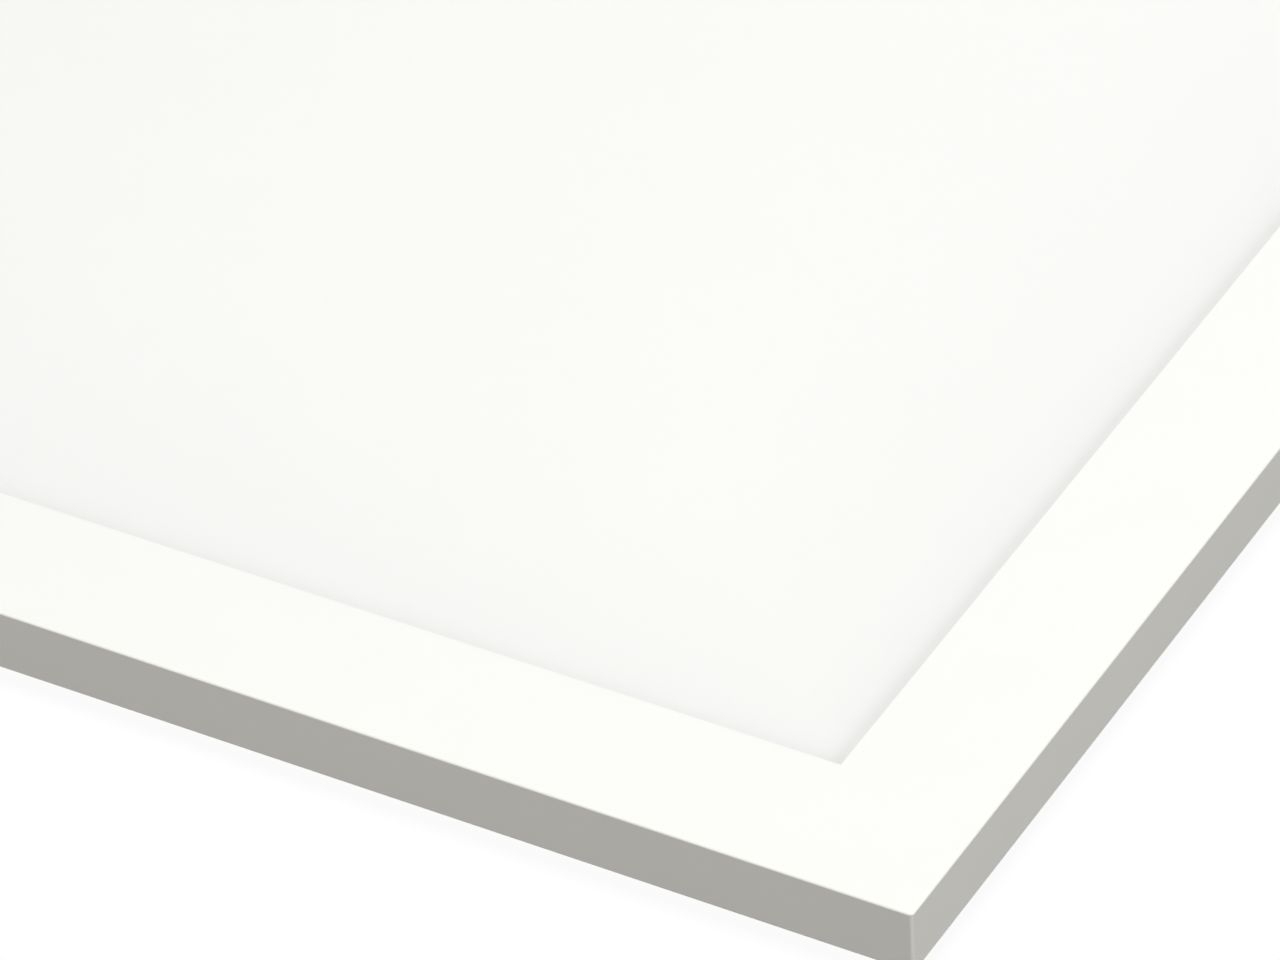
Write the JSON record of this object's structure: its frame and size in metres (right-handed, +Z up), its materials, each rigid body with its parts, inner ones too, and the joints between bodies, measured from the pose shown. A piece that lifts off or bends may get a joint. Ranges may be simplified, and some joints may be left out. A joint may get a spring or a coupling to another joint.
{
  "type": "light table",
  "caption": "Slim edge-lit light table: a white mitred frame round an opal viewing surface, with a rear push button and power inlet.",
  "frame": {"origin": "centre of the footprint, on the surface the feet stand on", "axes": "+X along the long side, -Y to the front edge, +Y to the rear edge with the inlet and button, +Z up through the lit face"},
  "size_m": [0.475, 0.3567, 0.012],
  "materials": {
    "frame_white": "white powder coat, satin",
    "key_zinc": "as cast",
    "screw_steel": "nickel plated",
    "diffuser_opal": "opal white, fine matt",
    "guide_clear": "clear acrylic, polished edges",
    "reflector_white": "white film",
    "foam_white": "closed-cell foam",
    "spacer_white": "moulded, matt",
    "cover_white": "white powder coat, fine texture",
    "board_green": "solder mask",
    "insulator_film": "thin film",
    "jack_black": "moulded, matt",
    "contact_nickel": "nickel plated",
    "button_white": "moulded, satin",
    "switch_black": "moulded, matt",
    "plunger_white": "moulded, matt",
    "chip_black": "moulded, matt",
    "inductor_grey": "ferrite",
    "capacitor_can": "drawn can",
    "strip_white": "white solder mask",
    "tape_grey": "thermal tape",
    "led_package": "moulded, white",
    "led_phosphor": "phosphor gel",
    "socket_white": "moulded, natural white",
    "lead_red": "insulation",
    "lead_black": "insulation",
    "foot_rubber": "moulded, matt"
  },
  "bodies": {
    "table": {"back_cover": "cover_white", "back_cover_screws": "screw_steel", "board_capacitors": "capacitor_can", "board_insulator": "insulator_film", "board_nuts": "screw_steel", "board_screws": "screw_steel", "control_board": "board_green", "corner_key_front_left": "key_zinc", "corner_key_front_right": "key_zinc", "corner_key_rear_left": "key_zinc", "corner_key_rear_right": "key_zinc", "corner_key_screws": "screw_steel", "diffuser": "diffuser_opal", "dimmer_chip": "chip_black", "driver_inductor": "inductor_grey", "driver_transistor": "chip_black", "edge_spacer_front": "spacer_white", "edge_spacers_rear": "spacer_white", "foam_backing": "foam_white", "foot_front_left": "foot_rubber", "foot_front_right": "foot_rubber", "foot_rear_left": "foot_rubber", "foot_rear_right": "foot_rubber", "jack_housing": "jack_black", "jack_pin": "contact_nickel", "jack_tabs": "contact_nickel", "lead_left_negative": "lead_black", "lead_left_positive": "lead_red", "lead_right_negative": "lead_black", "lead_right_positive": "lead_red", "lead_socket_left": "socket_white", "lead_socket_right": "socket_white", "led_phosphor_left": "led_phosphor", "led_phosphor_right": "led_phosphor", "led_strip_left": "strip_white", "led_strip_right": "strip_white", "led_tape_left": "tape_grey", "led_tape_right": "tape_grey", "leds_left": "led_package", "leds_right": "led_package", "light_guide": "guide_clear", "rail_front": "frame_white", "rail_left": "frame_white", "rail_rear": "frame_white", "rail_right": "frame_white", "reflector_sheet": "reflector_white", "strip_socket_left": "socket_white", "strip_socket_right": "socket_white", "switch_body": "switch_black", "switch_spring": "contact_nickel", "switch_tabs": "contact_nickel"},
    "button": {"power_button": "button_white", "switch_plunger": "plunger_white"}
  },
  "joints": [
    {"name": "power_button_press", "type": "slide", "parent": "table", "child": "button", "axis": [0, -1, 0], "range_m": [0, 0.0015], "stiffness_N_per_m": 800, "springref_m": -0.0006, "deforming": ["switch_spring"]}
  ]
}
